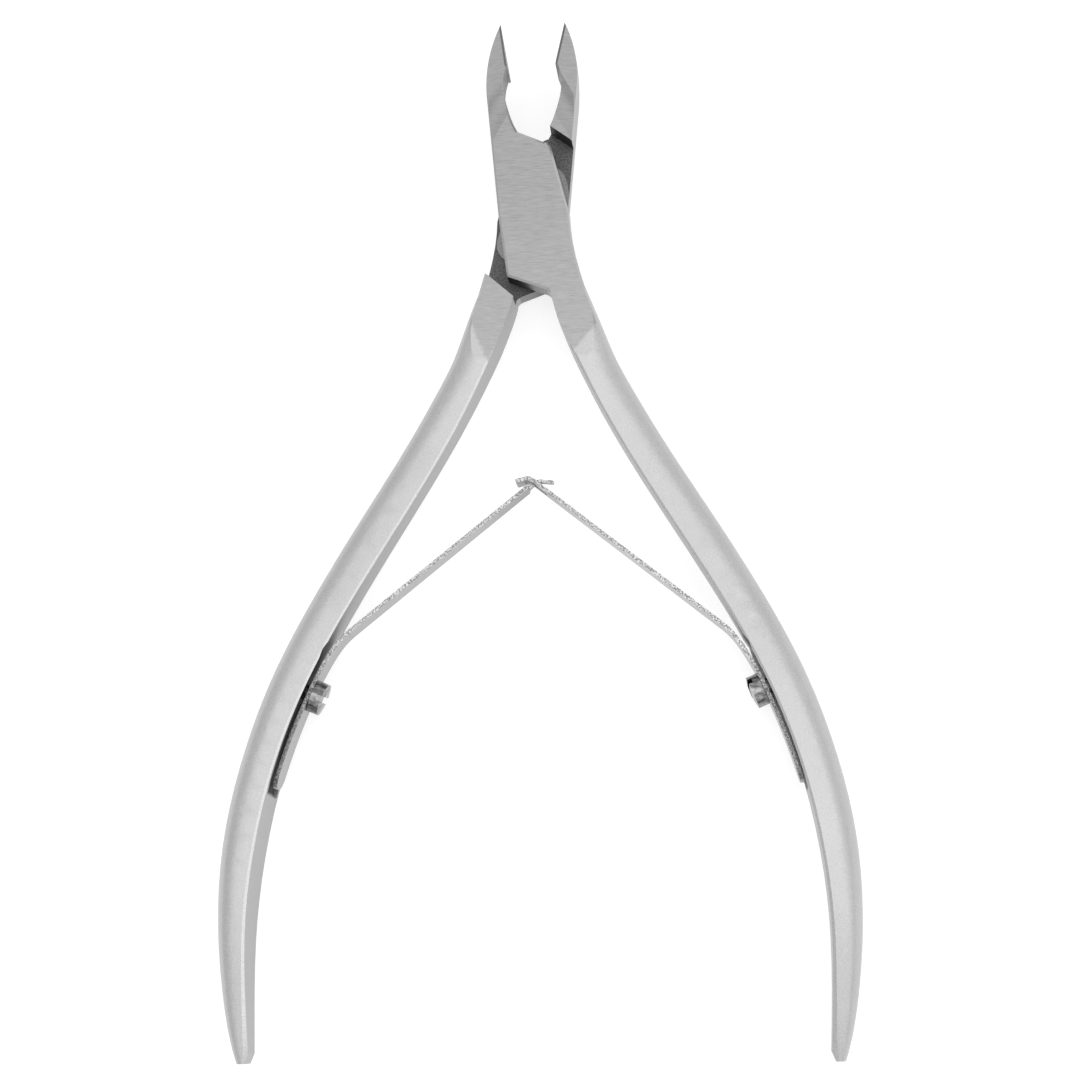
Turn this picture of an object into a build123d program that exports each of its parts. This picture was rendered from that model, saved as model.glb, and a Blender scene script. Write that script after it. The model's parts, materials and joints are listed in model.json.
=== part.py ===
from build123d import *
from math import atan2, cos, degrees, radians, sin
import os

# Cuticle nipper, millimetres. The origin is on the pivot axis, at the underside of the head.
# +Y points to the jaw tips, +Z up through the thickness. The levers stand open, as the springs hold them.

# Head
HEAD_THICKNESS = 5.0
MID_Z = HEAD_THICKNESS / 2
LAP_GAP = 0.08  # running gap between the two bearing pads
LAP_RELIEF = 0.2  # how far the rough lap lies below its bearing pad
EDGE_CHAMFER = 0.22
TIP_X = 3.28
TIP_Y = 20.9
TIP_HALF_HEIGHT = 0.22
THROUGH = 100  # length of a cut that goes right through
JAW_CORNER = (-2.47, 15.6)  # where the hollow between the jaws meets the cutting edge
FACET_OUTER_END = (-4.4, 12.1)
LENGTH_BEHIND_PIVOT = 83.1
LAST_STATION = 83.6  # the handle is drawn a little long and then cut off square
GRIND_LENGTH = 17.0  # how far behind the pivot the head is ground flat
DIP_WIDTH = 2.6
DIP_DEPTH = 0.14

# Rivet
RIVET_RADIUS = 1.7
RIVET_HEAD_RADIUS = 2.3
RIVET_HEAD_HEIGHT = 0.9
RUNNING_CLEARANCE = 0.03
SEATED_CLEARANCE = 0.004
HEAD_SEAT_GAP = 0.05  # between a screw head and its leaf, which is slightly curved

# Handle stations: distance behind the pivot, inner face, outer side, thickness,
# squareness of the crown, crown peak as a share of the width, chamfer on the inner edges
HANDLE_STATIONS = (
    (6.4, 1.95, 4.6, 5.4, 8.0, 0.30, 0.22),
    (8.6, 1.85, 5.5, 5.4, 8.0, 0.30, 0.22),
    (11.0, 2.62, 6.55, 5.4, 6.0, 0.28, 0.22),
    (13.0, 3.4, 7.4, 5.2, 4.0, 0.25, 0.22),
    (15.2, 4.35, 8.35, 4.9, 3.0, 0.25, 0.22),
    (19.0, 6.15, 10.35, 4.35, 2.6, 0.34, 0.22),
    (24.0, 8.85, 13.25, 4.0, 2.4, 0.42, 0.22),
    (31.0, 13.1, 17.6, 4.0, 2.4, 0.44, 0.22),
    (39.0, 18.0, 22.35, 4.5, 2.4, 0.44, 0.22),
    (47.0, 22.2, 26.3, 5.4, 2.4, 0.44, 0.22),
    (55.0, 25.2, 29.0, 6.1, 2.4, 0.44, 0.23),
    (63.0, 27.0, 30.55, 6.4, 2.4, 0.44, 0.25),
    (70.0, 27.75, 30.8, 6.1, 2.4, 0.44, 0.28),
    (77.0, 27.75, 30.2, 4.9, 2.4, 0.46, 0.33),
    (81.4, 27.55, 29.35, 3.9, 2.4, 0.50, 0.42),
    (LAST_STATION, 27.43, 28.62, 3.1, 2.4, 0.55, 0.48),
)
CROWN_ANGLES = (68, 48, 26)
CHAMFER_SLOPE = 0.38  # drop of the handle's edge chamfers over their width
CROWN_DROP = 0.1  # how far the crown has fallen where it meets the chamfer, over the chamfer's width
END_CORNER = ((28.2, -83.9), (26.9, -83.9), (26.9, -81.6), (27.5, -82.1), (27.92, -83.1))
HOLLOW_DRAFT = 0.25  # how much wider the hollow between the jaws is on the face away from the lap

# Spring leaves
LEAF_THICKNESS = 0.38
TONGUE_THICKNESS = 0.3
LEAF_TIP_ROUNDING = 0.17
TONGUE_TIP_ROUNDING = 0.13
LEAF_HEIGHT_AT_TAIL = 3.2
LEAF_HEIGHT_AT_FLEX = 2.9
LEAF_HEIGHT_AT_HOOK = 2.4
LEAF_TAIL = (25.45, -57.0)
TAIL_CORNER = 1.3
FLEX_POINT = (18.3, -41.83)  # where the leaf bends away from the handle
HOOK_START = (0.55, -27.6)
LEAF_LEAN = degrees(atan2(HOOK_START[1] - FLEX_POINT[1], FLEX_POINT[0] - HOOK_START[0]))
WINDOW_HEIGHT = 1.0
WINDOW_LEFT = -1.0
WINDOW_RIGHT = 1.15
TONGUE_HEIGHT = 0.76
TONGUE_ROOT_X = -0.6
HOOK_BEND_RADIUS = 0.75
HOOK_REACH = 0.95  # straight run past the middle before the right leaf's end bends over
HOOK_END = 1.1
HOOK_LEAN = 14
TONGUE_REACH = 0.72
TONGUE_END = 1.3
TONGUE_LEAN = 6
HINGE_GAP = 0.06
SEAT_HEIGHT = 4.8
SEAT_DEPTH = 0.6

# Screws
SCREW_POINT = (22.1, -47.8)  # where the screw axis crosses the leaf
SCREW_LEAN = 23.5  # degrees that the screw axis turns from X
SCREW_HEAD_RADIUS = 1.6
SCREW_HEAD_HEIGHT = 1.25
SCREW_DOME = 0.16
SCREW_SHANK_RADIUS = 0.8
SCREW_SHANK_LENGTH = 2.4
SLOT_WIDTH = 0.62
SLOT_DEPTH = 0.6
LEAF_HOLE_RADIUS = 0.9

# Each lever is drawn as the one with its jaw on the left and its lap on top.
# Its mate is the same forging turned over about the Y axis.
UPPER = Plane((0, 0, MID_Z), x_dir=(1, 0, 0), z_dir=(0, 0, 1))
LOWER = Plane((0, 0, MID_Z), x_dir=(-1, 0, 0), z_dir=(0, 0, -1))


def station_lean(station):
    """Angle by which the handle runs outward at a station."""
    before = HANDLE_STATIONS[max(station - 1, 0)]
    after = HANDLE_STATIONS[min(station + 1, len(HANDLE_STATIONS) - 1)]
    outward = (after[1] + after[2] - before[1] - before[2]) / 2
    return atan2(outward, after[0] - before[0])


def section_plane(frame, station):
    """Plane across the handle, its origin on the inner face at mid thickness."""
    behind, inner, outer = HANDLE_STATIONS[station][:3]
    lean = station_lean(station)
    across = frame.x_dir * cos(lean) + frame.y_dir * sin(lean)
    middle = frame.from_local_coords(Vector((inner + outer) / 2, -behind, 0))
    half_width = (outer - inner) * cos(lean) / 2
    return Plane(middle - across * half_width, x_dir=across, z_dir=across.cross(frame.z_dir))


def handle_section(frame, station):
    """Flat inner face with small chamfers, crowned top and bottom that meet on the outer side."""
    inner, outer, thickness, squareness, peak_share, edge = HANDLE_STATIONS[station][1:]
    width = (outer - inner) * cos(station_lean(station))
    half = thickness / 2
    peak = peak_share * width
    upper = [(edge, half - CROWN_DROP * edge), (peak, half)]
    for angle in CROWN_ANGLES:
        across = peak + (width - peak) * cos(radians(angle)) ** (2 / squareness)
        upper.append((across, half * sin(radians(angle)) ** (2 / squareness)))
    lower = [(across, -up) for across, up in reversed(upper)]
    flat = half - (CHAMFER_SLOPE + CROWN_DROP) * edge
    with BuildSketch(section_plane(frame, station)) as section:
        with BuildLine():
            crown = Spline(*upper, (width, 0), *lower)
            Polyline(crown @ 1, (0, -flat), (0, flat), crown @ 0)
        make_face()
    return section.sketch


def head_outline(plane):
    """Jaw, lap plate and the root of the handle in plan."""
    with BuildSketch(plane) as outline:
        with BuildLine():
            outer = Spline((-TIP_X, TIP_Y), (-4.05, 18.8), (-4.6, 15.2), (-4.5, 12.3))
            side = Line(outer @ 1, (-3.3, -0.7))
            left = Line(side @ 1, (-2.5, -6.55))
            bottom = Line(left @ 1, (1.35, -7.97))
            fork = ThreePointArc(bottom @ 1, (1.78, -8.3), (2.12, -9.3))
            root = Polyline(fork @ 1, (3.2, -11.4), (6.2, -11.0))
            neck = Spline(root @ 1, (5.15, -7.6), (4.25, -4.2), (3.72, 0.0))
            right = Line(neck @ 1, (1.93, 6.9))
            corner = ThreePointArc(right @ 1, (1.74, 7.2), (1.35, 7.32))
            crotch = Line(corner @ 1, (-1.4, 8.55))
            hollow = Spline(crotch @ 1, (-1.95, 9.7), (-2.42, 11.2), (-2.83, 13.4), JAW_CORNER)
            Line(hollow @ 1, outer @ 0)
        make_face()
    return outline.sketch


def lap_recess(plane):
    """What is taken away under the lap, from the jaw's shoulder to the handle's shoulder."""
    with BuildSketch(plane) as recess:
        with BuildLine():
            Polyline(
                (-6.0, 6.0),
                (-2.1, 8.85),
                (0.5, 10.75),
                (6.5, 10.75),
                (6.5, -4.55),
                (2.0, -8.52),
                (0.5, -9.85),
                (-6.0, -9.85),
                close=True,
            )
        make_face()
    return recess.sketch


def lap_pad(plane):
    """The bearing pad round the pivot that stands proud of the rough lap."""
    with BuildSketch(plane) as pad:
        with BuildLine():
            Spline(
                (-3.25, 0.5),
                (-3.48, 3.4),
                (-2.7, 5.15),
                (-0.6, 5.7),
                (1.6, 4.9),
                (2.6, 2.0),
                (3.35, -0.9),
                (3.75, -2.7),
                (3.1, -3.95),
                (1.2, -4.4),
                (-1.6, -4.1),
                (-2.9, -2.6),
                periodic=True,
            )
        make_face()
    return pad.sketch


def grinding_dip(frame, side):
    """Shallow dip that the grinding wheel leaves behind the facet, as a section across its ridge."""
    start = frame.from_local_coords(Vector(*FACET_OUTER_END, side * MID_Z))
    along = frame.from_local_coords(Vector(*JAW_CORNER, side * MID_Z)) - start
    height = frame.z_dir * side
    away = along.cross(height)
    if away.Y > 0:
        away = away * -1
    with BuildSketch(Plane(start, x_dir=away, z_dir=away.cross(height))) as dip:
        with BuildLine():
            wheel = Spline((0, 0), (DIP_WIDTH * 0.3, -DIP_DEPTH), (DIP_WIDTH, 0))
            Polyline(wheel @ 1, (DIP_WIDTH, DIP_DEPTH), (0, DIP_DEPTH), wheel @ 0)
        make_face()
    return dip.sketch


def handle_end(plane):
    """What is cut off the end of the handle, in plan: a square end and a corner off the inner face."""
    with BuildSketch(plane) as end:
        with Locations((28, -LENGTH_BEHIND_PIVOT)):
            Rectangle(6, 2, align=(Align.CENTER, Align.MAX))
        with BuildLine():
            Polyline(*END_CORNER, close=True)
        make_face()
    return end.sketch


def hollow_relief(plane):
    """The hollow between the jaws, in plan, up to the heel of the cutting edge."""
    with BuildSketch(plane) as hollow:
        with BuildLine():
            wall = Spline((-1.4, 8.55), (-1.95, 9.7), (-2.42, 11.2), (-2.83, 13.4), JAW_CORNER)
            Polyline(wall @ 1, (0, JAW_CORNER[1]), (0, 8.55), wall @ 0)
        make_face()
    return hollow.sketch


def leaf_seat(plane):
    """Shallow slot milled in the handle's inner face for the spring leaf, in plan."""
    beside = [(station[1], -station[0]) for station in HANDLE_STATIONS if 46 < station[0] < 56]
    with BuildSketch(plane) as seat:
        with BuildLine():
            floor = Spline((18.3, -40.6), *[(x + SEAT_DEPTH, y) for x, y in beside], (26.2, -57.6))
            Polyline(floor @ 1, (25.2, -57.9), (20.0, -50.0), (16.5, -41.2), floor @ 0)
        make_face()
    return seat.sketch


def rivet_section(clearance):
    """Half section of the rivet with its two flush countersunk heads."""
    shank = RIVET_RADIUS + clearance
    head = RIVET_HEAD_RADIUS + clearance
    with BuildSketch(Plane.XZ) as section:
        with BuildLine():
            Polyline(
                (0, 0),
                (head, 0),
                (shank, RIVET_HEAD_HEIGHT),
                (shank, HEAD_THICKNESS - RIVET_HEAD_HEIGHT),
                (head, HEAD_THICKNESS),
                (0, HEAD_THICKNESS),
                close=True,
            )
        make_face()
    return section.sketch


def leaf_height(side, inner_x, inner_height, outer_x, outer_height):
    """Tapering height of a leaf between two distances from the middle, seen along Y."""
    with BuildSketch(Plane.XZ) as height:
        with BuildLine():
            Polyline(
                (side * inner_x, MID_Z - inner_height / 2),
                (side * outer_x, MID_Z - outer_height / 2),
                (side * outer_x, MID_Z + outer_height / 2),
                (side * inner_x, MID_Z + inner_height / 2),
                close=True,
            )
        make_face()
    return height.sketch


def facet_plane(frame, side):
    """The ground facet that runs the jaw down to its tip; its normal points out of the jaw."""
    outer = frame.from_local_coords(Vector(*FACET_OUTER_END, side * MID_Z))
    inner = frame.from_local_coords(Vector(*JAW_CORNER, side * MID_Z))
    tip = frame.from_local_coords(Vector(-TIP_X, TIP_Y, side * TIP_HALF_HEIGHT))
    normal = (inner - outer).cross(tip - outer)
    if normal.dot(frame.z_dir) * side < 0:
        normal = normal * -1
    return Plane(outer, x_dir=inner - outer, z_dir=normal)


def screw_plane(side, offset):
    """Plane square to the screw axis, its normal out of the handle, offset from the leaf's middle."""
    outward = Vector(-side * cos(radians(SCREW_LEAN)), -sin(radians(SCREW_LEAN)), 0)
    point = Vector(side * SCREW_POINT[0], SCREW_POINT[1], MID_Z)
    return Plane(point + outward * offset, x_dir=(0, 0, 1), z_dir=outward)


def forging(frame, side, rivet_clearance):
    """One lever: jaw, half-thickness lap and crowned handle."""
    with BuildPart() as lever:
        extrude(head_outline(frame.offset(-MID_Z)), amount=HEAD_THICKNESS)
        rims = edges().filter_by_position(Axis.Z, -0.01, 0.01)
        rims += edges().filter_by_position(Axis.Z, HEAD_THICKNESS - 0.01, HEAD_THICKNESS + 0.01)
        chamfer(rims, length=EDGE_CHAMFER)
        loft([handle_section(frame, station) for station in range(len(HANDLE_STATIONS))])
        with BuildSketch(Plane.XY.offset(HEAD_THICKNESS), Plane.XY.offset(-1)):
            with Locations((0, -GRIND_LENGTH / 2)):
                Rectangle(30, GRIND_LENGTH)
        extrude(amount=1, mode=Mode.SUBTRACT)
        lap_depth = MID_Z + 1 + LAP_GAP / 2 + LAP_RELIEF
        extrude(lap_recess(frame.offset(-MID_Z - 1)), amount=lap_depth, mode=Mode.SUBTRACT)
        extrude(lap_pad(frame.offset(LAP_GAP / 2)), amount=LAP_RELIEF + 0.1)
        far_face = Plane(
            frame.origin - frame.x_dir * HOLLOW_DRAFT - frame.z_dir * MID_Z,
            x_dir=frame.x_dir,
            z_dir=frame.z_dir,
        )
        loft([hollow_relief(frame.offset(MID_Z)), hollow_relief(far_face)], mode=Mode.SUBTRACT)
        for face_side in (1, -1):
            extrude(grinding_dip(frame, face_side), amount=THROUGH, both=True, mode=Mode.SUBTRACT)
            split(bisect_by=facet_plane(frame, face_side), keep=Keep.BOTTOM)
        extrude(handle_end(frame.offset(-MID_Z - 1)), amount=2 * MID_Z + 2, mode=Mode.SUBTRACT)
        revolve(rivet_section(rivet_clearance), axis=Axis.Z, mode=Mode.SUBTRACT)
        extrude(leaf_seat(frame.offset(-SEAT_HEIGHT / 2)), amount=SEAT_HEIGHT, mode=Mode.SUBTRACT)
        with BuildSketch(screw_plane(side, 1)):
            Circle(SCREW_SHANK_RADIUS + SEATED_CLEARANCE)
        extrude(amount=-SCREW_SHANK_LENGTH - 1.5, mode=Mode.SUBTRACT)
    return lever


def slotted_screw(side, slot_turn):
    """Cheese-head screw with a low dome, holding a leaf to its handle."""
    head_base = LEAF_THICKNESS / 2 + HEAD_SEAT_GAP
    axis = Axis(screw_plane(side, 0).origin, screw_plane(side, 0).z_dir)
    with BuildPart() as screw:
        with BuildSketch(screw_plane(side, head_base)):
            Circle(SCREW_HEAD_RADIUS)
        extrude(amount=SCREW_HEAD_HEIGHT)
        chamfer(faces().sort_by(axis)[-1].edges(), length=SCREW_DOME, length2=SCREW_HEAD_RADIUS / 2)
        with BuildSketch(screw_plane(side, head_base)):
            Circle(SCREW_SHANK_RADIUS)
        extrude(amount=-SCREW_SHANK_LENGTH)
        with BuildSketch(screw_plane(side, head_base + SCREW_HEAD_HEIGHT - SLOT_DEPTH)):
            Rectangle(2.2 * SCREW_HEAD_RADIUS, SLOT_WIDTH, rotation=slot_turn)
        extrude(amount=SLOT_DEPTH + 0.1, mode=Mode.SUBTRACT)
    return screw


def leaf_clamp(side):
    """The part of a leaf that is screwed to the handle, from its rounded tail to the bend."""
    with BuildPart() as clamp:
        with BuildSketch():
            with BuildLine():
                Spline(
                    (side * (FLEX_POINT[0] + HINGE_GAP), FLEX_POINT[1] - HINGE_GAP),
                    (side * 19.3, -42.85),
                    (side * 20.5, -44.65),
                    (side * 21.45, -46.4),
                    (side * SCREW_POINT[0], SCREW_POINT[1]),
                    (side * 23.7, -51.7),
                    (side * LEAF_TAIL[0], LEAF_TAIL[1]),
                )
            trace(line_width=LEAF_THICKNESS)
        extrude(amount=HEAD_THICKNESS)
        with BuildSketch(Plane.YZ):
            with BuildLine():
                Polyline(
                    (LEAF_TAIL[1], MID_Z - LEAF_HEIGHT_AT_TAIL / 2),
                    (FLEX_POINT[1] + 1, MID_Z - LEAF_HEIGHT_AT_FLEX / 2),
                    (FLEX_POINT[1] + 1, MID_Z + LEAF_HEIGHT_AT_FLEX / 2),
                    (LEAF_TAIL[1], MID_Z + LEAF_HEIGHT_AT_TAIL / 2),
                    close=True,
                )
            make_face()
            fillet(vertices().sort_by(Axis.X)[:2], radius=TAIL_CORNER)
        extrude(amount=THROUGH, both=True, mode=Mode.INTERSECT)
        with BuildSketch(screw_plane(side, -1)):
            Circle(LEAF_HOLE_RADIUS)
        extrude(amount=2, mode=Mode.SUBTRACT)
    return clamp


lower_lever = forging(LOWER, -1, RUNNING_CLEARANCE)
upper_lever = forging(UPPER, 1, SEATED_CLEARANCE)

with BuildPart() as pivot_rivet:
    revolve(rivet_section(0), axis=Axis.Z)

left_screw = slotted_screw(-1, 4)
right_screw = slotted_screw(1, 40)
left_leaf_clamp = leaf_clamp(-1)
right_leaf_clamp = leaf_clamp(1)

# The right leaf's end has a window and bends over to the left.
with BuildPart() as right_leaf_arm:
    with BuildSketch():
        with BuildLine():
            arm = Line(FLEX_POINT, HOOK_START)
            reach = Line(arm @ 1, arm @ 1 + (arm % 1) * HOOK_REACH)
            bend = JernArc(reach @ 1, reach % 1, radius=HOOK_BEND_RADIUS, arc_size=LEAF_LEAN + HOOK_LEAN)
            Line(bend @ 1, bend @ 1 + (bend % 1) * HOOK_END)
        trace(line_width=LEAF_THICKNESS)
        fillet(vertices().sort_by(Axis.X)[:2], radius=LEAF_TIP_ROUNDING)
    extrude(amount=HEAD_THICKNESS)
    taper = leaf_height(1, -3, LEAF_HEIGHT_AT_HOOK, FLEX_POINT[0] + 1, LEAF_HEIGHT_AT_FLEX)
    extrude(taper, amount=THROUGH, both=True, mode=Mode.INTERSECT)
    with BuildSketch(Plane.XZ):
        with Locations(((WINDOW_LEFT + WINDOW_RIGHT) / 2, MID_Z)):
            Rectangle(WINDOW_RIGHT - WINDOW_LEFT, WINDOW_HEIGHT)
    extrude(amount=THROUGH, both=True, mode=Mode.SUBTRACT)

# The left leaf's end is a narrow tongue that passes through the window and bends to the right.
with BuildPart() as left_leaf_arm:
    with BuildSketch():
        with BuildLine():
            arm = Line((-FLEX_POINT[0], FLEX_POINT[1]), (-HOOK_START[0], HOOK_START[1]))
        trace(line_width=LEAF_THICKNESS)
    extrude(amount=HEAD_THICKNESS)
    taper = leaf_height(-1, 0, LEAF_HEIGHT_AT_HOOK, FLEX_POINT[0] + 1, LEAF_HEIGHT_AT_FLEX)
    extrude(taper, amount=THROUGH, both=True, mode=Mode.INTERSECT)
    with BuildSketch(Plane.XZ):
        with Locations((TONGUE_ROOT_X, MID_Z + TONGUE_HEIGHT / 2)):
            Rectangle(HOOK_END * 4, LEAF_HEIGHT_AT_HOOK, align=(Align.MIN, Align.MIN))
        with Locations((TONGUE_ROOT_X, MID_Z - TONGUE_HEIGHT / 2)):
            Rectangle(HOOK_END * 4, LEAF_HEIGHT_AT_HOOK, align=(Align.MIN, Align.MAX))
    extrude(amount=THROUGH, both=True, mode=Mode.SUBTRACT)
    with BuildSketch(UPPER.offset(-TONGUE_HEIGHT / 2)):
        with BuildLine():
            reach = Line(arm @ 1 - (arm % 1) * 0.3, arm @ 1 + (arm % 1) * TONGUE_REACH)
            bend = JernArc(reach @ 1, reach % 1, radius=HOOK_BEND_RADIUS, arc_size=-LEAF_LEAN - TONGUE_LEAN)
            Line(bend @ 1, bend @ 1 + (bend % 1) * TONGUE_END)
        trace(line_width=TONGUE_THICKNESS)
        fillet(vertices().sort_by(Axis.X)[-2:], radius=TONGUE_TIP_ROUNDING)
    extrude(amount=TONGUE_HEIGHT)

pieces = {
    "lower_lever": lower_lever,
    "upper_lever": upper_lever,
    "pivot_rivet": pivot_rivet,
    "left_spring_screw": left_screw,
    "right_spring_screw": right_screw,
    "left_leaf_clamp": left_leaf_clamp,
    "right_leaf_clamp": right_leaf_clamp,
    "left_leaf_arm": left_leaf_arm,
    "right_leaf_arm": right_leaf_arm,
}
os.makedirs("parts", exist_ok=True)
for name, piece in pieces.items():
    piece.part.label = name
    export_step(piece.part, f"parts/{name}.step")
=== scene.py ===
import json
from math import cos, radians, sin

import bmesh
import bpy
from mathutils import Matrix, Vector


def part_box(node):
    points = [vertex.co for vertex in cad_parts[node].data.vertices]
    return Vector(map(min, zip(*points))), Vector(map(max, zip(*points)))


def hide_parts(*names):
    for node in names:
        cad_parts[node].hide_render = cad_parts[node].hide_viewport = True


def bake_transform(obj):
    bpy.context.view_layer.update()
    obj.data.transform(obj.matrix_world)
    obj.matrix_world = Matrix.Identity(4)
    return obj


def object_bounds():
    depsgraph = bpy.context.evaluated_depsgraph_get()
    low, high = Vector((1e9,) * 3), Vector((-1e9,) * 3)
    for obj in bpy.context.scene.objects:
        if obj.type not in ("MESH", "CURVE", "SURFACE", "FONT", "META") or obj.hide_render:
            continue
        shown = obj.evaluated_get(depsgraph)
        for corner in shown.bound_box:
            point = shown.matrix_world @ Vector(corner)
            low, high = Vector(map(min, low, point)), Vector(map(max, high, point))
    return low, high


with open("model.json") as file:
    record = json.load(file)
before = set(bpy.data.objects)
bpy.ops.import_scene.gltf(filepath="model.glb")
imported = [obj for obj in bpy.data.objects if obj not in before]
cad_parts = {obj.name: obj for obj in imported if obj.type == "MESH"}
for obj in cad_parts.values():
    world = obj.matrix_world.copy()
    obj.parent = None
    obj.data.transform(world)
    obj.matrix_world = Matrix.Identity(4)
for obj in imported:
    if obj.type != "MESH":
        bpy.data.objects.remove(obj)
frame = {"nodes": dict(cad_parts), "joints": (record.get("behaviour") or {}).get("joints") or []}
cad_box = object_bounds()
nodes = frame["nodes"]

MM = 0.001
HEAD_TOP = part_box("pivot_rivet")[1][2] / MM
MID_Z = HEAD_TOP / 2

# Places on a lever, in millimetres in the frame of the upper lever.
# A line is a point on it and a direction across it, both in plan.
GRINDING_START = {
    "upper_lever": ((5.3, -12.9), (-0.737, 0.676)),
    "lower_lever": ((5.5, -12.8), (-0.927, 0.374)),
}
FACET_RIDGE = ((-4.4, 12.1), (3.5, -1.93))
CUTTING_LAND = ((-2.47, 15.6), (1, 0.153))
JAW_SHOULDER = ((-2.1, 8.85), (-1.9, 2.6))
JAW_SHOULDER_X = (-4.2, 1.2)
HANDLE_SHOULDER = ((2.0, -8.52), (1.33, -1.5))
HANDLE_SHOULDER_X = (0.2, 7.0)
PLATE_END = ((-2.5, -6.55), (-1.42, -3.85))
PLATE_END_X = (-2.6, 1.5)
PLATE_END_SHADE_X = (-2.5, 1.5)
LAP_FLOOR_Z = (2.62, 2.85)
PAD_Z = (2.45, 2.6)
HOLLOW_Y = (8.7, 15.5)

# Tones and roughness of the steel, each from dark to light or from smooth to dull; the pad, lap floor,
# shoulder, hollow, plate end and seat tones are painted shade, and the land tone is a painted dark
# reflection
SATIN_TONE = (0.41, 0.51)
BRUSHED_TONE = (0.295, 0.39)
FACET_TONE = (0.37, 0.48)
LAND_SHADE_TONE = 0.16
PAD_SHADE_TONE = (0.17, 0.24)
LAP_FLOOR_SHADE_TONE = (0.09, 0.19)
SHOULDER_SHADE_TONE = (0.03, 0.09)
HOLLOW_SHADE_TONE = 0.14
PLATE_END_SHADE_TONE = (0.05, 0.22)
SEAT_SHADE_TONE = (0.02, 0.06)
RIDGE_SHADE = 0.6
INNER_SIDE_SHADE = 0.78
EDGE_HIGHLIGHT_GAIN = 1.06
SATIN_ROUGHNESS = (0.36, 0.44)
BRUSHED_ROUGHNESS = (0.26, 0.38)
DULL_ROUGHNESS = 0.6
WORN_ROUGHNESS = 0.2
LEAF_FACE_TONE = (0.29, 0.36)
LEAF_FACE_ROUGHNESS = (0.22, 0.34)
LEAF_EDGE_TONE = (0.20, 0.56)
SCREW_TONE = (0.22, 0.42)
SCREW_ROUGHNESS = (0.16, 0.26)
GRAIN_DEPTH = 0.006
TURNING_DEPTH = 0.003

# Spring leaves, in millimetres
LEAF_HALF_THICKNESS = 0.19
BEND_REACH = 1.5
BEND_ROWS = 6
BEND_SEGMENTS = 32
BEND_CAP_INSET = 0.01

# Floor, light and surroundings, in metres
FLOOR_SIZE = 4
FLOOR_GAP = 0.00002
FLOOR_TONE = 0.45
FLOOR_GLOW = 0.7
LAMP_PLACE = Vector((0.0, 0.0, 0.7))
LAMP_TARGET = Vector((0, -0.04, 0))
LAMP_SIZE = (0.5, 0.36)
LAMP_POWER = 0.54
PANELS = (((0.53, -0.05, 0.85), 0.55), ((-0.6, -0.05, 0.8), -0.1))
PANEL_EDGE = (radians(16), radians(9))

# Camera at the photograph's angle
CAMERA = Vector((20.469, -78.333, 240.012)) * MM
AIM = Vector((0.424, -32.845, 2.5)) * MM
ROLL = radians(-0.3532)
SENSOR_WIDTH = 36
FOCAL_LENGTH = 2469.478  # in pixels of a frame that is FRAME_WIDTH wide
FRAME_WIDTH = 1080


def node_material(name):
    """Metal node material, its tree and its Principled shader."""
    mat = bpy.data.materials.new(name)
    mat.use_nodes = True
    shader = mat.node_tree.nodes["Principled BSDF"]
    shader.inputs["Metallic"].default_value = 1.0
    return mat, mat.node_tree, shader


def feed(tree, socket, value):
    """A number sets the socket; an output is linked to it."""
    if isinstance(value, bpy.types.NodeSocket):
        tree.links.new(value, socket)
    else:
        socket.default_value = value


def maths(tree, operation, *values):
    node = tree.nodes.new("ShaderNodeMath")
    node.operation = operation
    for socket, value in zip(node.inputs, values):
        feed(tree, socket, value)
    return node.outputs[0]


def product(tree, *values):
    result = values[0]
    for value in values[1:]:
        result = maths(tree, "MULTIPLY", result, value)
    return result


def ramp(tree, value, start, end, low=0.0, high=1.0):
    """Low before start, high after end, smooth between; start may be above end."""
    node = tree.nodes.new("ShaderNodeMapRange")
    node.interpolation_type = "SMOOTHSTEP"
    if start > end:
        start, end, low, high = end, start, high, low
    for name, number in (("From Min", start), ("From Max", end), ("To Min", low), ("To Max", high)):
        node.inputs[name].default_value = number
    feed(tree, node.inputs["Value"], value)
    return node.outputs["Result"]


def between(tree, value, low, high, soft):
    """One between low and high, zero outside."""
    return product(
        tree, ramp(tree, value, low - soft, low + soft), ramp(tree, value, high + soft, high - soft)
    )


def blend_values(tree, mask, without, with_mask):
    """Goes from one value to the other where the mask is one."""
    node = tree.nodes.new("ShaderNodeMix")
    feed(tree, node.inputs["Factor"], mask)
    feed(tree, node.inputs["A"], without)
    feed(tree, node.inputs["B"], with_mask)
    return node.outputs["Result"]


def noise(tree, place, size, detail=2.0, stretch=(1, 1, 1)):
    """Noise with features of about this size in millimetres."""
    scaled = tree.nodes.new("ShaderNodeMapping")
    scaled.inputs["Scale"].default_value = [1 / (size * amount) for amount in stretch]
    tree.links.new(place, scaled.inputs["Vector"])
    node = tree.nodes.new("ShaderNodeTexNoise")
    node.inputs["Scale"].default_value = 1.0
    node.inputs["Detail"].default_value = detail
    tree.links.new(scaled.outputs["Vector"], node.inputs["Vector"])
    return node.outputs["Fac"]


def piece_place(tree, turned=False):
    """Place in millimetres and normal; turned gives the frame of the lever that is turned over."""
    coords = tree.nodes.new("ShaderNodeTexCoord")
    sign = -1 if turned else 1
    place = tree.nodes.new("ShaderNodeMapping")
    place.inputs["Scale"].default_value = (sign / MM, 1 / MM, sign / MM)
    place.inputs["Location"].default_value = (0, 0, HEAD_TOP if turned else 0)
    tree.links.new(coords.outputs["Object"], place.inputs["Vector"])
    normal = tree.nodes.new("ShaderNodeMapping")
    normal.inputs["Scale"].default_value = (sign, 1, sign)
    tree.links.new(coords.outputs["Normal"], normal.inputs["Vector"])
    return place.outputs["Vector"], normal.outputs["Vector"]


def axes(tree, vector):
    node = tree.nodes.new("ShaderNodeSeparateXYZ")
    tree.links.new(vector, node.inputs[0])
    return node.outputs


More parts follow.
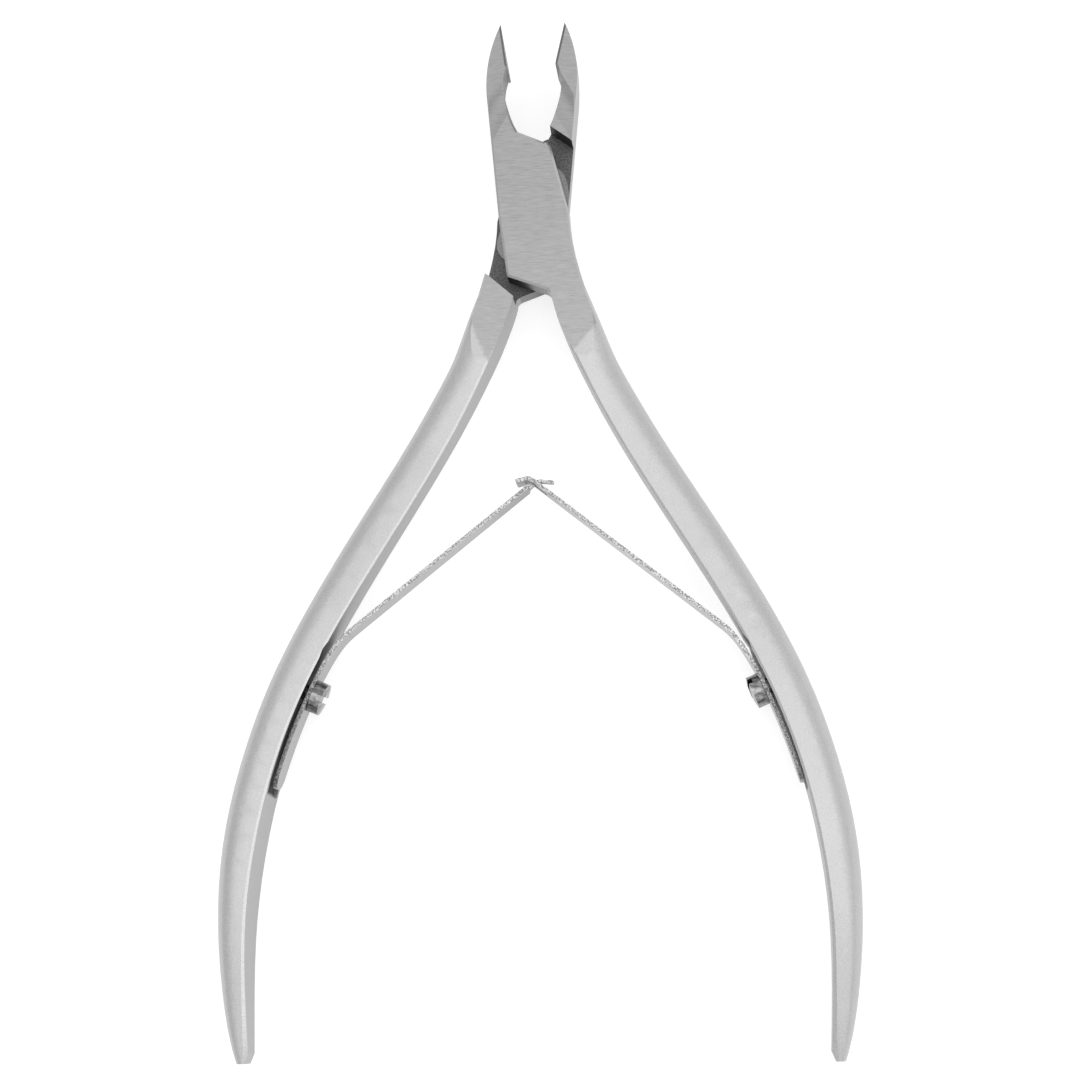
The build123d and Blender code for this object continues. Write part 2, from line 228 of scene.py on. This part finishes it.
def side_of(tree, place, point, ahead):
    """Signed distance in plan from a line through a point, positive on the side that ahead points to."""
    ahead = Vector((*ahead, 0)).normalized()
    node = tree.nodes.new("ShaderNodeVectorMath")
    node.operation = "DOT_PRODUCT"
    tree.links.new(place, node.inputs[0])
    node.inputs[1].default_value = ahead
    return maths(tree, "SUBTRACT", node.outputs["Value"], ahead.dot(Vector((*point, 0))))


def grey(tree, shader, value):
    """The same value in all three channels."""
    node = tree.nodes.new("ShaderNodeCombineColor")
    for channel in ("Red", "Green", "Blue"):
        tree.links.new(value, node.inputs[channel])
    tree.links.new(node.outputs[0], shader.inputs["Base Color"])


def bump(tree, shader, height, depth):
    """Bump from a height, a height of one being depth in millimetres."""
    node = tree.nodes.new("ShaderNodeBump")
    node.inputs["Distance"].default_value = depth * MM
    tree.links.new(height, node.inputs["Height"])
    tree.links.new(node.outputs["Normal"], shader.inputs["Normal"])


def brushed_lines(tree, place):
    """Fine grinding lines that run across the head, with a few stronger ones."""
    fine = noise(tree, place, 0.055, 4.0, (22, 1, 22))
    coarse = noise(tree, place, 0.15, 3.0, (14, 1, 14))
    return maths(tree, "ADD", product(tree, fine, 0.7), product(tree, coarse, 0.3))


def lever_steel(name, turned, grind_point, grind_ahead):
    """Satin-blasted handle, brushed head, ground jaw facets, painted shade in the lap, on its walls and in
    the leaf seat, and a painted highlight on the inner edge.
    """
    mat, tree, shader = node_material(name)
    place, normal = piece_place(tree, turned)
    x, y, z = axes(tree, place)
    normal_x, normal_y, normal_z = axes(tree, normal)
    flatness = maths(tree, "ABSOLUTE", normal_z)
    from_mid = maths(tree, "ABSOLUTE", maths(tree, "SUBTRACT", z, MID_Z))
    facing_down = ramp(tree, normal_z, -0.5, -0.8)
    upright_wall = ramp(tree, flatness, 0.5, 0.3)

    # Ground head, the facets of its jaw and the narrow land along the cutting edge, with painted shade
    # behind the facet ridge and a painted dark reflection on the land
    wobble = noise(tree, place, 0.5, 3.0)
    grind_line = side_of(tree, place, grind_point, grind_ahead)
    ground = ramp(tree, maths(tree, "ADD", grind_line, product(tree, wobble, 0.6)), 0.1, 0.55)
    brushed = product(tree, ground, ramp(tree, flatness, 0.6, 0.9))
    facet = product(tree, ramp(tree, flatness, 0.994, 0.975), ramp(tree, y, 11.0, 12.5), brushed)
    behind_ridge = side_of(tree, place, *FACET_RIDGE)
    ridge_shade = product(
        tree,
        ramp(tree, behind_ridge, 1.9, 0.0),
        ramp(tree, behind_ridge, -0.05, 0.02),
        ramp(tree, flatness, 0.9, 0.97),
    )
    land = side_of(tree, place, *CUTTING_LAND)
    land = product(tree, ramp(tree, land, -0.24, -0.17), ramp(tree, y, 15.3, 15.7))

    # Lap: its floor, its raised pad and the upright walls around them, the jaw hollow and the end of the
    # plate, all painted with shade
    lap_floor = product(tree, between(tree, z, *LAP_FLOOR_Z, 0.03), facing_down)
    pad = product(tree, between(tree, z, *PAD_Z, 0.02), facing_down)
    upright = product(tree, upright_wall, ramp(tree, z, 2.85, 2.7))
    jaw_wall = between(tree, side_of(tree, place, *JAW_SHOULDER), -0.06, 0.06, 0.03)
    jaw_wall = product(tree, jaw_wall, between(tree, x, *JAW_SHOULDER_X, 0.05))
    handle_wall = between(tree, side_of(tree, place, *HANDLE_SHOULDER), -0.15, 0.15, 0.03)
    handle_wall = product(tree, handle_wall, between(tree, x, *HANDLE_SHOULDER_X, 0.05))
    shoulders = product(tree, upright, maths(tree, "MAXIMUM", jaw_wall, handle_wall))
    hollow = product(tree, upright_wall, ramp(tree, normal_x, 0.3, 0.5), between(tree, y, *HOLLOW_Y, 0.1))
    hollow = product(tree, hollow, ramp(tree, x, -1.0, -1.3))
    plate_end = between(tree, side_of(tree, place, *PLATE_END), -0.15, 0.06, 0.03)
    plate_end = product(tree, plate_end, upright_wall, between(tree, x, *PLATE_END_X, 0.05))

    # Handle: its inner side with painted shade, the smoother edge beside it with a painted highlight, and
    # the seat of the leaf
    inner_side = ramp(tree, normal_x, -0.45, -0.6)
    smooth_highlit_edge = product(
        tree, ramp(tree, normal_x, -0.22, -0.3), ramp(tree, flatness, 0.7, 0.8), ramp(tree, y, -9.0, -12.0)
    )
    seat = product(
        tree,
        ramp(tree, from_mid, 2.44, 2.36),
        ramp(tree, y, -57.6, -57.2),
        ramp(tree, y, -42.0, -45.5),
        inner_side,
    )

    blast = noise(tree, place, 0.11, 4.0)
    cloud = noise(tree, place, 3.5, 3.0)
    scratches = ramp(tree, noise(tree, place, 0.12, 2.0, (1.5, 22, 1.5)), 0.66, 0.74)
    lines = brushed_lines(tree, place)
    dull_grain = noise(tree, place, 0.16, 5.0)

    satin_tone = maths(
        tree, "ADD", ramp(tree, blast, 0.3, 0.7, *SATIN_TONE), product(tree, cloud, 0.03)
    )
    satin_tone = maths(tree, "ADD", satin_tone, product(tree, scratches, 0.02))
    brushed_tone = ramp(tree, lines, 0.33, 0.67, *BRUSHED_TONE)
    tone = blend_values(tree, brushed, satin_tone, brushed_tone)
    tone = blend_values(tree, facet, tone, ramp(tree, lines, 0.35, 0.65, *FACET_TONE))
    tone = product(tree, tone, ramp(tree, ridge_shade, 0.0, 1.0, 1.0, RIDGE_SHADE))
    # Painted dark reflection on the narrow land along the cutting edge
    tone = blend_values(tree, land, tone, LAND_SHADE_TONE)
    tone = product(tree, tone, blend_values(tree, inner_side, 1.0, INNER_SIDE_SHADE))
    # Painted highlight on the smoother edge beside the inner side
    tone = product(tree, tone, blend_values(tree, smooth_highlit_edge, 1.0, EDGE_HIGHLIGHT_GAIN))
    # Painted shade on the raised pad and on the floor of the lap, mottled by a grain
    tone = blend_values(tree, pad, tone, ramp(tree, dull_grain, 0.35, 0.65, *PAD_SHADE_TONE))
    tone = blend_values(tree, lap_floor, tone, ramp(tree, dull_grain, 0.3, 0.7, *LAP_FLOOR_SHADE_TONE))
    # Painted shade on the upright shoulder walls of the lap
    tone = blend_values(tree, shoulders, tone, ramp(tree, dull_grain, 0.3, 0.7, *SHOULDER_SHADE_TONE))
    # Painted shade on the upright wall of the jaw hollow
    tone = blend_values(tree, hollow, tone, HOLLOW_SHADE_TONE)
    # Painted shade on the end wall of the plate, darker towards its low-x end
    tone = blend_values(tree, plate_end, tone, ramp(tree, x, *PLATE_END_SHADE_X, *PLATE_END_SHADE_TONE))
    # Painted shade in the seat of the leaf
    tone = blend_values(tree, seat, tone, ramp(tree, dull_grain, 0.3, 0.7, *SEAT_SHADE_TONE))
    grey(tree, shader, tone)

    roughness = ramp(tree, blast, 0.3, 0.7, *SATIN_ROUGHNESS)
    roughness = blend_values(tree, brushed, roughness, ramp(tree, lines, 0.3, 0.7, *BRUSHED_ROUGHNESS))
    dull = maths(tree, "MAXIMUM", lap_floor, maths(tree, "MAXIMUM", shoulders, seat))
    roughness = blend_values(tree, dull, roughness, DULL_ROUGHNESS)
    roughness = blend_values(tree, smooth_highlit_edge, roughness, WORN_ROUGHNESS)
    tree.links.new(roughness, shader.inputs["Roughness"])

    height = blend_values(tree, brushed, product(tree, blast, 0.8), product(tree, lines, 0.6))
    height = blend_values(tree, dull, height, product(tree, dull_grain, 6.0))
    bump(tree, shader, height, GRAIN_DEPTH)
    return mat


def rivet_steel():
    """Same brushed grain as the head that it is ground flush with."""
    mat, tree, shader = node_material("rivet_steel")
    place, _ = piece_place(tree)
    lines = brushed_lines(tree, place)
    grey(tree, shader, ramp(tree, lines, 0.33, 0.67, *BRUSHED_TONE))
    tree.links.new(ramp(tree, lines, 0.3, 0.7, *BRUSHED_ROUGHNESS), shader.inputs["Roughness"])
    bump(tree, shader, product(tree, lines, 0.6), GRAIN_DEPTH)
    return mat


def spring_steel():
    """Rolled strip with rough sheared edges, darker at its hook and at its screwed-down tail."""
    mat, tree, shader = node_material("spring_steel")
    place, normal = piece_place(tree)
    sheared = ramp(tree, maths(tree, "ABSOLUTE", axes(tree, normal)[2]), 0.4, 0.7)
    rolling = noise(tree, place, 0.08, 3.0, (18, 18, 1))
    speckle = noise(tree, place, 0.14, 4.0)
    from_middle = maths(tree, "ABSOLUTE", axes(tree, place)[0])
    hook_shade = ramp(tree, from_middle, 6.0, 1.5, 1.0, 0.7)
    face_tone = product(tree, ramp(tree, rolling, 0.3, 0.7, *LEAF_FACE_TONE), hook_shade)
    edge_tone = ramp(tree, speckle, 0.36, 0.64, *LEAF_EDGE_TONE)
    tail_shade = ramp(tree, axes(tree, place)[1], -44.0, -48.0, 1.0, 0.55)
    edge_tone = product(tree, edge_tone, tail_shade)
    grey(tree, shader, blend_values(tree, sheared, face_tone, edge_tone))
    face_rough = ramp(tree, rolling, 0.3, 0.7, *LEAF_FACE_ROUGHNESS)
    rough = blend_values(tree, sheared, face_rough, ramp(tree, speckle, 0.3, 0.7, 0.5, 0.3))
    tree.links.new(rough, shader.inputs["Roughness"])
    height = blend_values(tree, sheared, product(tree, rolling, 0.4), product(tree, speckle, 1.6))
    bump(tree, shader, height, GRAIN_DEPTH)
    return mat


def screw_steel():
    """Bright turned steel with fine turning marks and a few stains."""
    mat, tree, shader = node_material("screw_steel")
    place, _ = piece_place(tree)
    turning = noise(tree, place, 0.16, 2.0, (8, 2, 1))
    stains = noise(tree, place, 0.7, 3.0)
    tone = ramp(tree, stains, 0.35, 0.65, *SCREW_TONE)
    streaks = ramp(tree, turning, 0.42, 0.55, 0.55, 1.0)
    grey(tree, shader, product(tree, tone, streaks))
    tree.links.new(ramp(tree, turning, 0.3, 0.7, *SCREW_ROUGHNESS), shader.inputs["Roughness"])
    bump(tree, shader, turning, TURNING_DEPTH)
    return mat


materials = {
    "upper_lever": lever_steel("upper_lever_steel", False, *GRINDING_START["upper_lever"]),
    "lower_lever": lever_steel("lower_lever_steel", True, *GRINDING_START["lower_lever"]),
    "pivot_rivet": rivet_steel(),
}
spring = spring_steel()
screw = screw_steel()
for name, obj in nodes.items():
    obj.data.materials.clear()
    chosen = spring if "leaf" in name else screw
    obj.data.materials.append(materials.get(name, chosen))


def whole_leaf(name, clamp, arm, joint_name):
    """One strip from its screwed-down tail to its free end, joined over the bend between its nodes."""
    joint = next(j for j in frame["joints"] if j["name"] == joint_name)
    flex = Vector((joint["pos_m"][0], joint["pos_m"][1], MID_Z * MM))
    tail = sum(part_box(clamp), Vector()) / 2
    tip = sum(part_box(arm), Vector()) / 2
    half_height = (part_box(arm)[1].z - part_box(arm)[0].z) / 2
    strip = bmesh.new()
    for node in (clamp, arm):
        strip.from_mesh(nodes[node].data)
    bmesh.ops.create_cone(
        strip,
        cap_ends=True,
        segments=BEND_SEGMENTS,
        radius1=LEAF_HALF_THICKNESS * MM,
        radius2=LEAF_HALF_THICKNESS * MM,
        depth=2 * half_height - BEND_CAP_INSET * MM,
        matrix=Matrix.Translation(flex),
    )
    for towards in (tail, tip):
        along = (towards - flex).normalized()
        for row in range(BEND_ROWS + 1):
            cut = flex + along * BEND_REACH * MM * row / BEND_ROWS
            everything = strip.verts[:] + strip.edges[:] + strip.faces[:]
            bmesh.ops.bisect_plane(strip, geom=everything, plane_co=cut, plane_no=along)
    mesh = bpy.data.meshes.new(name)
    strip.to_mesh(mesh)
    strip.free()
    mesh.materials.append(spring)
    leaf = bpy.data.objects.new(name, mesh)
    bpy.context.scene.collection.objects.link(leaf)
    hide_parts(clamp, arm)
    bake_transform(leaf)


for side in ("left", "right"):
    whole_leaf(f"{side}_leaf", f"{side}_leaf_clamp", f"{side}_leaf_arm", f"{side}_leaf_bend")

# Floor
floor_material, _, floor_shader = node_material("floor_paper")
floor_shader.inputs["Metallic"].default_value = 0.0
floor_shader.inputs["Roughness"].default_value = 0.9
floor_shader.inputs["Base Color"].default_value = (FLOOR_TONE, FLOOR_TONE, FLOOR_TONE, 1)
floor_shader.inputs["Emission Color"].default_value = (1, 1, 1, 1)
floor_shader.inputs["Emission Strength"].default_value = FLOOR_GLOW
low_z = cad_box[0][2]
bpy.ops.mesh.primitive_plane_add(size=FLOOR_SIZE, location=(0, 0, low_z - FLOOR_GAP))
floor = bpy.context.object
floor.name = "floor"
floor.data.materials.append(floor_material)

# Lamp over the head
lamp = bpy.data.lights.new("overhead", "AREA")
lamp.shape = "RECTANGLE"
lamp.size, lamp.size_y = LAMP_SIZE
lamp.energy = LAMP_POWER
lamp_object = bpy.data.objects.new("overhead", lamp)
bpy.context.scene.collection.objects.link(lamp_object)
lamp_object.location = LAMP_PLACE
lamp_object.rotation_euler = (LAMP_TARGET - LAMP_PLACE).to_track_quat("-Z", "Y").to_euler()

# Surroundings, a little brighter overhead and to the right, with one bright and one dim panel
world = bpy.data.worlds.new("studio")
world.use_nodes = True
sky = world.node_tree
direction = sky.nodes.new("ShaderNodeTexCoord").outputs["Generated"]
across, _, height = axes(sky, direction)
strength = ramp(sky, height, 0.0, 1.0, 0.95, 1.0)
strength = maths(sky, "ADD", strength, product(sky, across, 0.1))
for towards, amount in PANELS:
    near = sky.nodes.new("ShaderNodeVectorMath")
    near.operation = "DOT_PRODUCT"
    sky.links.new(direction, near.inputs[0])
    near.inputs[1].default_value = Vector(towards).normalized()
    panel = ramp(sky, near.outputs["Value"], *(cos(angle) for angle in PANEL_EDGE))
    strength = maths(sky, "ADD", strength, product(sky, panel, amount))
sky.links.new(strength, sky.nodes["Background"].inputs["Strength"])
sky.nodes["Background"].inputs["Color"].default_value = (1, 1, 1, 1)
bpy.context.scene.world = world

# Camera
back = (CAMERA - AIM).normalized()
right = Vector((0, 1, 0)).cross(back).normalized()
up = back.cross(right)
turned_right = right * cos(ROLL) + up * sin(ROLL)
turned_up = up * cos(ROLL) - right * sin(ROLL)
camera = bpy.data.cameras.new("camera")
camera.sensor_width = SENSOR_WIDTH
camera.lens = SENSOR_WIDTH * FOCAL_LENGTH / FRAME_WIDTH
camera.clip_start = 0.01
camera_object = bpy.data.objects.new("camera", camera)
camera_object.matrix_world = Matrix(
    (
        (turned_right.x, turned_up.x, back.x, CAMERA.x),
        (turned_right.y, turned_up.y, back.y, CAMERA.y),
        (turned_right.z, turned_up.z, back.z, CAMERA.z),
        (0, 0, 0, 1),
    )
)
bpy.context.scene.collection.objects.link(camera_object)
bpy.context.scene.camera = camera_object
bpy.context.scene.view_settings.view_transform = "Standard"
